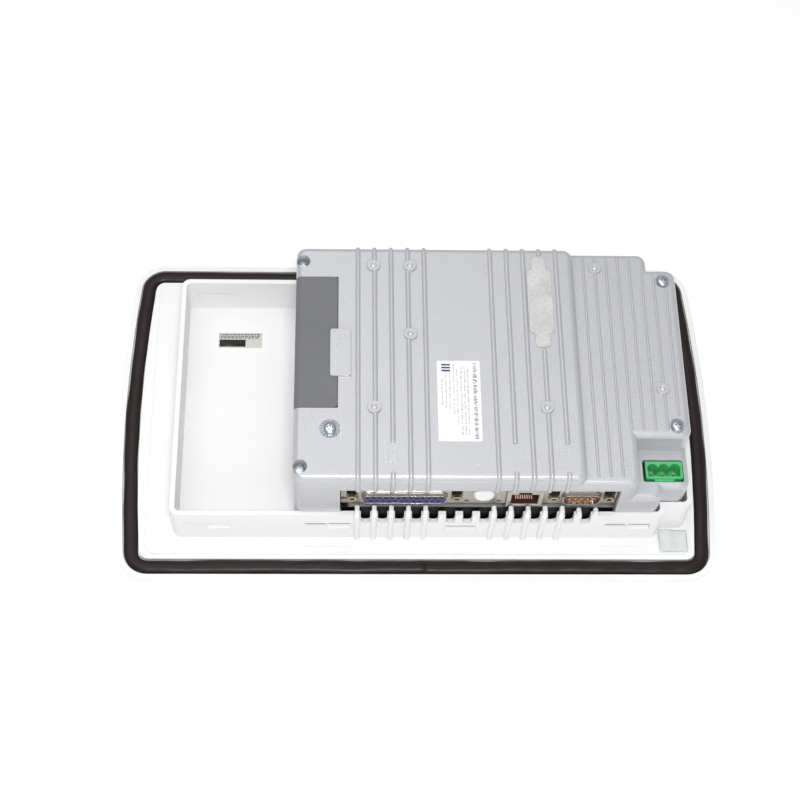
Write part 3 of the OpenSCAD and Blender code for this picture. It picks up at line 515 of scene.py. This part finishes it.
def dome(radius, height, washer=None):
    """Profile of a pan head, with an optional washer under it as (radius, thickness)."""
    flat, shoulder, arcs = 0.30, 0.35, 6
    base = washer[1] if washer else 0.0
    profile = [(0, 0)]
    if washer:
        profile += [(washer[0] - 0.1, 0), (washer[0], 0.1), (washer[0], base - 0.12),
                    (washer[0] - 0.12, base), (radius - 0.25, base)]
    else:
        profile += [(radius - 0.15, 0)]
    profile += [(radius, base + 0.2), (radius, base + height * shoulder)]
    for k in range(1, arcs + 1):
        angle = math.pi / 2 * k / arcs
        profile.append((radius * (flat + (1 - flat) * math.cos(angle)),
                        base + height * (shoulder + (1 - shoulder) * math.sin(angle))))
    return profile + [(0, base + height)]


def cut_cross(piece, centre, span, slot_w, depth):
    """Cuts a cross recess with sloping ends into a screw head."""
    taper, above = 0.45, 1.0
    bm = bmesh.new()
    for along_x in (True, False):
        rings = []
        for half, z in ((span / 2 * taper, centre[2] - depth), (span / 2, centre[2] + above)):
            a, b = (half, slot_w / 2) if along_x else (slot_w / 2, half)
            rings.append(ring(bm, [((centre[0] + sx * a) * MM, (centre[1] + sy * b) * MM)
                                   for sx, sy in ((1, 1), (-1, 1), (-1, -1), (1, -1))], z * MM))
        loft(bm, rings)
    bmesh.ops.recalc_face_normals(bm, faces=bm.faces)
    data = bpy.data.meshes.new("recess")
    bm.to_mesh(data)
    bm.free()
    cutter = bpy.data.objects.new("recess", data)
    bpy.context.scene.collection.objects.link(cutter)
    modifier = piece.modifiers.new("recess", "BOOLEAN")
    modifier.object = cutter
    modifier.operation = "DIFFERENCE"
    modifier.use_self = True
    cut = bpy.data.meshes.new_from_object(piece.evaluated_get(bpy.context.evaluated_depsgraph_get()))
    piece.modifiers.clear()
    piece.data = cut
    bpy.data.objects.remove(cutter)


def make_screws(material):
    """Cross-recessed pan heads with their shanks, and the ground screw on its washer."""
    shank_r, shank_l, shank_top = 1.45, 7.0, 0.05
    recess_share, recess_w, recess_depth = 1.25, 0.75, 1.1
    for name, washer in (("cover_screws", None), ("ground_screw", (3.6, 0.4))):
        places = screw_places(name)
        bm = bmesh.new()
        for x, y, seat, radius, tall in places:
            lathe(bm, dome(radius, tall, washer), (x, y, seat))
            lathe(bm, [(shank_r, -shank_l), (shank_r, shank_top)], (x, y, seat), steps=24)
        piece = finish_piece(name + "_turned", bm, material, hides=(name,), smooth=35)
        for x, y, seat, radius, tall in places:
            top = seat + tall + (washer[1] if washer else 0)
            cut_cross(piece, (x, y, top), radius * recess_share, recess_w, recess_depth)


def make_washer(material):
    """Toothed lock washer under the plain washer of the ground screw, in a darker zinc than the screw as
    painted shade round its head.
    """
    x, y, seat = screw_places("ground_screw")[0][:3]
    outer, inner, disc_t, sunk = 4.25, 1.9, 0.315, 0.02
    teeth, tooth_l, tooth_lift = 16, 0.5, 0.28
    points = teeth * 4
    bm = bmesh.new()
    rings = []
    for radius, z in ((inner, 0.0), (outer, 0.0), (outer, disc_t), (inner, disc_t)):
        line = []
        for k in range(points):
            angle = 2 * math.pi * k / points
            tooth = k % 4 < 2
            r = radius if radius == inner or tooth else radius - tooth_l
            lift = tooth_lift if tooth and z else 0.0
            line.append(bm.verts.new(((x + r * math.cos(angle)) * MM, (y + r * math.sin(angle)) * MM,
                                      (seat + z + lift - sunk) * MM)))
        rings.append(line)
    loft(bm, rings + rings[:1], closed=False)
    finish_piece("ground_lock_washer", bm, material, smooth=25)


# ---------------------------------------------------------------- printing and embossing

def type_row(bm, x0, x1, y0, y1, z, chooser, pen, height=PRINT):
    """A row of fine upright strokes running along Y, in groups with gaps between them."""
    group_gap = 0.5
    y = y0
    while y < y1 - pen:
        for _ in range(chooser.randint(3, 11)):
            if y > y1 - pen:
                break
            low_cut = chooser.choice((0.0, 0.0, 0.35))
            high_cut = chooser.choice((0.0, 0.0, 0.3))
            span = x1 - x0
            soft_block(bm, x0 + low_cut * span, y, x1 - high_cut * span, y + pen, z, z + height,
                       pen * 0.3, min(0.02, height * 0.5), steps=1, turns=1)
            y += pen + chooser.choice((0.22, 0.3, 0.4))
        y += group_gap


def make_label(ink, navy):
    """Rows of plain strokes and three bars where a rating plate has its printing."""
    low, high = node_box("rating_label")
    length = high[1] - low[1]
    top = high[2]
    chooser = random.Random(11)
    # from and to across the label in millimetres, then from and to as shares of its length
    fine_rows = ((13.4, 14.3, 0.08, 0.93), (12.0, 12.9, 0.08, 0.93), (10.4, 11.3, 0.08, 0.93),
                 (8.6, 9.3, 0.20, 0.90), (7.1, 7.9, 0.33, 0.96), (5.2, 6.0, 0.40, 0.88),
                 (3.5, 4.3, 0.40, 0.88), (1.8, 2.5, 0.45, 0.78))
    heading_row = (16.2, 18.0, 0.03, 0.97)
    bar_x0, bar_x1, bar_w, bar_pitch, bars_from_end = 2.0, 6.0, 0.9, 1.5, 5.6

    def print_row(bm, row, pen):
        """One row of strokes at its place on the label."""
        left, right, start, end = row
        type_row(bm, low[0] + left, low[0] + right, low[1] + start * length, low[1] + end * length,
                 top, chooser, pen)

    bm = bmesh.new()
    for row in fine_rows:
        print_row(bm, row, pen=0.2)
    finish_piece("label_rows", bm, ink)
    bm = bmesh.new()
    print_row(bm, heading_row, pen=0.3)
    for k in range(3):
        y = high[1] - bars_from_end + k * bar_pitch
        soft_block(bm, low[0] + bar_x0, y, low[0] + bar_x1, y + bar_w, top, top + PRINT, 0.15, 0.02,
                   steps=1)
    finish_piece("label_heading", bm, navy)


def make_sticker(ink):
    """Black block and tiny bars on the silver sticker in the tray."""
    low, high = node_box("serial_sticker")
    top = high[2]
    wide, tall = high[0] - low[0], high[1] - low[1]
    block_wide, block_tall, rows_from, row_pitch = 0.62, 0.55, 0.64, 0.11
    bar_w, bar_gap, left_edge, right_edge = 0.5, 0.4, 0.8, 1.5
    chooser = random.Random(5)
    bm = bmesh.new()
    soft_block(bm, low[0] + 0.5, low[1] + 0.6, low[0] + block_wide * wide, low[1] + block_tall * tall,
               top, top + PRINT, 0.3, 0.02)
    for row in range(3):
        x = low[0] + left_edge
        y = low[1] + (rows_from + row_pitch * row) * tall
        while x < high[0] - right_edge:
            length = chooser.uniform(0.5, 1.7)
            soft_block(bm, x, y, x + length, y + bar_w, top, top + PRINT, 0.1, 0.02, steps=1)
            x += length + bar_gap
    finish_piece("sticker_marks", bm, ink)


def make_cover_marks(material):
    """Low cast strokes beside each connector, the ground screw, the blank and the door, lighter than the
    cover as a painted highlight on the raised strokes.
    """
    tab_top = node_box("rear_cover")[1][2]
    widest_column, sunk, pen, height = 1.35, 0.05, 0.38, 0.27
    # x and y of two corners, the surface that the strokes stand on, and how many columns
    groups = (
        (-17.0, -54.0, -8.9, -42.5, MAIN_TOP, 4),  # 25-way port
        (23.5, -56.0, 26.0, -49.0, MAIN_TOP, 1),  # round port
        (38.2, -57.0, 46.4, -46.5, MAIN_TOP, 3),  # network jack
        (58.6, -57.0, 65.6, -46.5, MAIN_TOP, 3),  # 9-way port
        (89.3, -55.0, 92.9, -45.6, LOW_TOP, 2),  # power header
        (47.6, 24.0, 49.2, 43.0, MAIN_TOP, 1),  # blank
        (-53.5, -43.0, -51.5, -31.0, MAIN_TOP, 1),  # left of the ground screw
        (-49.5, -34.0, -48.0, -28.5, MAIN_TOP, 1),  # upper left of it
        (-36.6, -43.0, -35.2, -31.0, MAIN_TOP, 1),  # right of the ground screw
        (-39.5, -49.5, -37.5, -46.0, MAIN_TOP, 1),  # below it
        (-39.3, -6.0, -36.6, 10.0, tab_top, 1),  # tab of the card door
    )
    chooser = random.Random(3)
    bm = bmesh.new()
    for x0, y0, x1, y1, top, columns in groups:
        pitch = (x1 - x0) / columns
        for k in range(columns):
            x = x0 + k * pitch
            trim = chooser.uniform(0.0, 0.3) * (y1 - y0) if columns > 1 else 0.0
            type_row(bm, x, x + min(widest_column, pitch * 0.75), y0, y1 - trim, top - sunk, chooser,
                     pen, height)
    finish_piece("cast_marks", bm, material, smooth=20)


def make_boss_centres(material):
    """Small domes left by the mould pins in the middle of the round bosses, much lighter than the cast:
    a painted highlight.
    """
    boss_t = 0.1
    on_main = ((-21.3, 48.1), (-4.3, 48.2), (-4.5, 11.0), (-21.2, -27.0), (56.2, -26.8))
    on_low = ((83.3, 50.7), (109.9, -14.3))
    profile = [(0.0, -0.3), (0.95, -0.3), (0.95, 0.0), (0.85, 0.3), (0.6, 0.52), (0.3, 0.62),
               (0.0, 0.65)]
    bm = bmesh.new()
    for places, level in ((on_main, MAIN_TOP), (on_low, LOW_TOP)):
        for x, y in places:
            lathe(bm, profile, (x, y, level + boss_t), steps=20)
    finish_piece("boss_centres", bm, material, smooth=60)


# ---------------------------------------------------------------- film, sheet and port details

def film_height(u, v):
    """How far the film stands off its well, at the shares u and v of its width and height."""
    arch_share, arch_top = 0.62, 0.95
    curl_share, curl_top = 0.18, 1.5
    arch = arch_top * math.sin(math.pi * min(1.0, u / arch_share)) ** 2 * (0.6 + 0.4 * v)
    curl = curl_top * max(0.0, curl_share - u) / curl_share
    return arch + curl


def make_film(material, edge_material):
    """Thin clear film that arches out of its well, with its cut edges showing green."""
    low, high = node_box("clear_film")
    border, thick, clear = 0.3, 0.08, 0.03
    wide, tall = high[0] - low[0], high[1] - low[1]

    def grid_lines(length, spans):
        """Even steps along a side, with a narrow border at each end."""
        inner = length - 2 * border
        return [0.0] + [border + inner * k / spans for k in range(spans + 1)] + [length]

    xs, ys = grid_lines(wide, 14), grid_lines(tall, 10)
    columns, rows = len(xs) - 1, len(ys) - 1
    bm = bmesh.new()
    sides = []
    for offset in (0.0, thick):
        sides.append([[bm.verts.new(((low[0] + x) * MM, (low[1] + y) * MM,
                                     (low[2] + clear + film_height(x / wide, y / tall) + offset) * MM))
                       for x in xs] for y in ys])
    for side, grid in enumerate(sides):
        for j in range(rows):
            for i in range(columns):
                face = (grid[j][i], grid[j][i + 1], grid[j + 1][i + 1], grid[j + 1][i])
                made = bm.faces.new(face if side else tuple(reversed(face)))
                made.material_index = int(i in (0, columns - 1) or j in (0, rows - 1))
    rim = [(0, i) for i in range(columns)] + [(j, columns) for j in range(rows)]
    rim += [(rows, i) for i in range(columns, 0, -1)] + [(j, 0) for j in range(rows, 0, -1)]
    under, over = sides
    for (j0, i0), (j1, i1) in zip(rim, rim[1:] + rim[:1]):
        made = bm.faces.new((under[j0][i0], under[j1][i1], over[j1][i1], over[j0][i0]))
        made.material_index = 1
    piece = finish_piece("film_curled", bm, material, hides=("clear_film",), smooth=80)
    piece.data.materials.append(edge_material)


def make_shade_sheet(material):
    """Black sheet standing behind the comb, painted shade for the gaps between its fingers, with its
    lower edge folded inward.
    """
    x0, x1, y, z0, z1 = -35.8, 88.0, -60.7, 7.0, 29.5
    thick, fold = 0.2, 6.0
    outside = [(y, z1), (y, z0 + 1.2), (y + 0.4, z0 + 0.4), (y + 1.2, z0), (y + fold, z0)]
    inside = [(y + fold, z0 + thick), (y + 1.3, z0 + thick), (y + 0.6, z0 + 0.6),
              (y + thick, z0 + 1.3), (y + thick, z1)]
    bm = bmesh.new()
    loft(bm, [[bm.verts.new((x * MM, py * MM, pz * MM)) for py, pz in outside + inside]
              for x in (x0, x1)])
    finish_piece("comb_shade_sheet", bm, material, smooth=20)


def open_box(bm, x0, x1, y_front, y_back, z0, z1, thick=0.12):
    """Thin lining of a recess that is open towards -Y."""
    outer = [(x0, z0), (x1, z0), (x1, z1), (x0, z1)]
    inner = [(x0 + thick, z0 + thick), (x1 - thick, z0 + thick), (x1 - thick, z1 - thick),
             (x0 + thick, z1 - thick)]
    rings = []
    for outline, y in ((outer, y_back), (outer, y_front), (inner, y_front), (inner, y_back - thick)):
        rings.append([bm.verts.new((x * MM, y * MM, z * MM)) for x, z in outline])
    loft(bm, rings)


def make_jack_lining(plastic):
    """Dark plastic inside the network jack: the plug's room, and the latch's room above it."""
    low, high = node_box("ethernet_jack")
    middle = (low[0] + high[0]) / 2
    front, back = low[1] + 0.25, low[1] + 13.3
    plug_half, plug_z0, plug_z1 = 6.17, low[2] + 1.84, high[2] - 3.44
    latch_half, latch_z0, latch_z1 = 2.95, high[2] - 3.5, high[2] - 1.45
    bm = bmesh.new()
    open_box(bm, middle - plug_half, middle + plug_half, front, back, plug_z0, plug_z1)
    open_box(bm, middle - latch_half, middle + latch_half, front, back, latch_z0, latch_z1)
    finish_piece("jack_lining", bm, plastic, smooth=20)


def make_jack_wires(copper):
    """The jack's eight bent wires, over its floor."""
    low, high = node_box("ethernet_jack")
    middle = (low[0] + high[0]) / 2
    count, pitch, half_w, half_t = 8, 1.02, 0.24, 0.15
    path = ((2.2, 3.0), (4.0, 3.3), (6.5, 4.5), (9.5, 6.2), (12.5, 7.2))
    bm = bmesh.new()
    for k in range(count):
        x = middle + (k - (count - 1) / 2) * pitch
        loft(bm, [[bm.verts.new(((x + sx * half_w) * MM, (low[1] + y) * MM,
                                 (low[2] + z + sz * half_t) * MM))
                   for sx, sz in ((-1, -1), (1, -1), (1, 1), (-1, 1))] for y, z in path])
    finish_piece("jack_wires", bm, copper, smooth=30)


def make_contact_rings(material):
    """Funnels round the holes of the 25-way port, darker than the insulator: painted shade in the holes.
    """
    low, high = node_box("serial25_insulator")
    middle = (low[0] + high[0]) / 2
    height, row_offset, pitch = 38.6, 1.42, 2.77
    steps = 14
    turn = [2 * math.pi * k / steps for k in range(steps)]
    # radius, and how far behind the insulator's face
    profile = ((0.98, 0.01), (0.92, -0.05), (0.6, -0.03), (0.52, 0.6), (0.62, 0.6))
    bm = bmesh.new()
    for count, z in ((13, height + row_offset), (12, height - row_offset)):
        for k in range(count):
            x = middle + (k - (count - 1) / 2) * pitch
            rings = [[bm.verts.new(((x + radius * math.cos(a)) * MM, (low[1] + behind) * MM,
                                    (z + radius * math.sin(a)) * MM)) for a in turn]
                     for radius, behind in profile]
            loft(bm, rings + rings[:1], closed=False)
    finish_piece("serial25_funnels", bm, material, smooth=40)


def make_slot_shadows(material):
    """Dark strips of painted shadow along the upper edge of each clip slot in the near wall."""
    y0, y1 = -64.3, -63.4
    pair_z0, pair_z1, middle_z0, middle_z1 = 18.95, 19.85, 16.5, 17.45
    shaded_gaps = [(centre + x0, centre + x1, pair_z0, pair_z1)
            for centre in (-41.9, 95.6) for x0, x1 in ((-10.2, -0.8), (0.6, 10.2))]
    shaded_gaps.append((12.2, 25.4, middle_z0, middle_z1))
    bm = bmesh.new()
    for x0, x1, z0, z1 in shaded_gaps:
        soft_block(bm, x0, y0, x1, y1, z0, z1, 0.2, 0.1, steps=1, turns=2)
    finish_piece("slot_painted_shadows", bm, material, smooth=30)


# ---------------------------------------------------------------- front printing

SEGMENTS = {
    "0": "abcdef", "1": "bc", "2": "abged", "3": "abgcd", "4": "fgbc", "5": "afgcd",
    "6": "afgedc", "7": "abc", "8": "abcdefg", "9": "abcdfg",
}


def digit(bm, text, x, y, z, tall):
    """Plain seven-stroke number printed on the front, read from below with +Y up."""
    wide = tall * 0.55
    pen = tall * 0.13
    centre = wide if text == "1" else wide / 2
    bottom = y - tall / 2
    strokes = {
        "a": (0, tall, wide, tall), "g": (0, tall / 2, wide, tall / 2), "d": (0, 0, wide, 0),
        "f": (0, tall / 2, 0, tall), "b": (wide, tall / 2, wide, tall),
        "e": (0, 0, 0, tall / 2), "c": (wide, 0, wide, tall / 2),
    }
    for segment in SEGMENTS[text]:
        u0, v0, u1, v1 = strokes[segment]
        soft_block(bm, x - (u1 - centre) - pen / 2, bottom + v0 - pen / 2,
                   x - (u0 - centre) + pen / 2, bottom + v1 + pen / 2, z, z - PRINT,
                   pen * 0.4, PRINT_EDGE, steps=1)


def arrow(bm, x, y, z, size, dx, dy):
    """Triangle pointing to (dx, dy), with a short stem."""
    tail, head_half, stem_half = -size * 0.8, size * 0.8, size * 0.25

    def place(along, across):
        """A point in the arrow's own directions."""
        return ((x + dx * along - dy * across) * MM, (y + dy * along + dx * across) * MM)

    shape = [place(size, 0), place(0, head_half), place(0, stem_half), place(tail, stem_half),
             place(tail, -stem_half), place(0, -stem_half), place(0, -head_half)]
    loft(bm, [ring(bm, shape, z * MM), ring(bm, shape, (z - PRINT) * MM)])


def bar(bm, x0, y0, x1, y1, z, r):
    """A small printed block on the front."""
    soft_block(bm, x0, y0, x1, y1, z, z - PRINT, r, PRINT_EDGE)


ARROWS = {"left": (1, 0), "up": (0, 1), "right": (-1, 0), "down": (0, -1)}


def draw_legend(bm, what, x, y, z):
    """The mark of one key: an arrow, a dot, an enter mark, an underlined number or a number."""
    if what in ARROWS:
        arrow(bm, x, y, z, 2.2, *ARROWS[what])
    elif what == "dot":
        bar(bm, x - 0.5, y - 1.6, x + 0.5, y - 0.6, z, 0.3)
    elif what == "enter":
        arrow(bm, x + 0.8, y, z, 1.8, 1, 0)
        bar(bm, x - 2.2, y - 0.45, x - 1.4, y + 1.8, z, 0.2)
    elif what[0] == "f":
        bar(bm, x - 2.6, y - 2.0, x + 2.6, y - 1.6, z, 0.15)
        digit(bm, what[1], x, y + 0.6, z, 2.6)
    else:
        digit(bm, what, x, y, z, 4.0)


def make_legends(light, dark):
    """Numbers and arrows on the keys; each legend rides on its own key."""
    prefix = "key_"
    for name in sorted(NODES):
        if not name.startswith(prefix) or name in ("key_spacer", "key_circuit"):
            continue
        low, high = node_box(name)
        what = name[len(prefix):]
        bm = bmesh.new()
        draw_legend(bm, what, (low[0] + high[0]) / 2, (low[1] + high[1]) / 2, low[2])
        finish_piece("legend_" + what, bm, light if what in ARROWS else dark, body=name)


def frame_lines(bm, low, high, margin, z, r):
    """Rounded outline printed on the front, round the box from low to high and a margin."""
    pen = 0.35
    x0, y0, x1, y1 = low[0] - margin, low[1] - margin, high[0] + margin, high[1] + margin
    outer = rounded(x0 * MM, y0 * MM, x1 * MM, y1 * MM, r * MM)
    inner = rounded((x0 + pen) * MM, (y0 + pen) * MM, (x1 - pen) * MM, (y1 - pen) * MM, (r - pen) * MM)
    rings = [ring(bm, outer, z * MM), ring(bm, outer, (z - PRINT) * MM),
             ring(bm, inner, (z - PRINT) * MM), ring(bm, inner, z * MM)]
    loft(bm, rings + rings[:1], closed=False)


def make_overlay_print(material):
    """Printed outlines round the key groups and the screen."""
    face = node_box("front_overlay")[0][2]
    # the outermost keys of each group
    groups = (("key_1", "key_3", "key_7", "key_dot", "key_enter"),
              ("key_left", "key_right", "key_up", "key_down"), ("key_f1", "key_f8"))
    bm = bmesh.new()
    for names in groups:
        lows, highs = zip(*(node_box(name) for name in names))
        low = [min(values) for values in zip(*lows)]
        high = [max(values) for values in zip(*highs)]
        frame_lines(bm, low, high, margin=2.4, z=face, r=2.0)
    frame_lines(bm, *node_box("lcd_panel"), margin=0.6, z=face, r=3.0)
    finish_piece("overlay_lines", bm, material)


make_camera()
make_studio()
make_floor()
finishes = make_finishes()
paint_nodes(finishes)
make_gasket(finishes["gasket_rubber"])
make_screws(finishes["screw_zinc"])
make_washer(finishes["washer_zinc_painted_shade"])
make_label(finishes["label_ink"], finishes["label_navy"])
make_sticker(finishes["sticker_ink"])
make_cover_marks(finishes["cast_painted_highlight"])
make_boss_centres(finishes["boss_painted_highlight"])
make_film(finishes["film_lifted"], finishes["film_edge"])
make_shade_sheet(finishes["sheet_painted_shade"])
make_jack_lining(finishes["jack_plastic"])
make_jack_wires(finishes["jack_copper"])
make_contact_rings(finishes["funnel_painted_shade"])
make_slot_shadows(finishes["slot_shadow"])
make_legends(finishes["legend_light"], finishes["legend_dark"])
make_overlay_print(finishes["overlay_ink"])
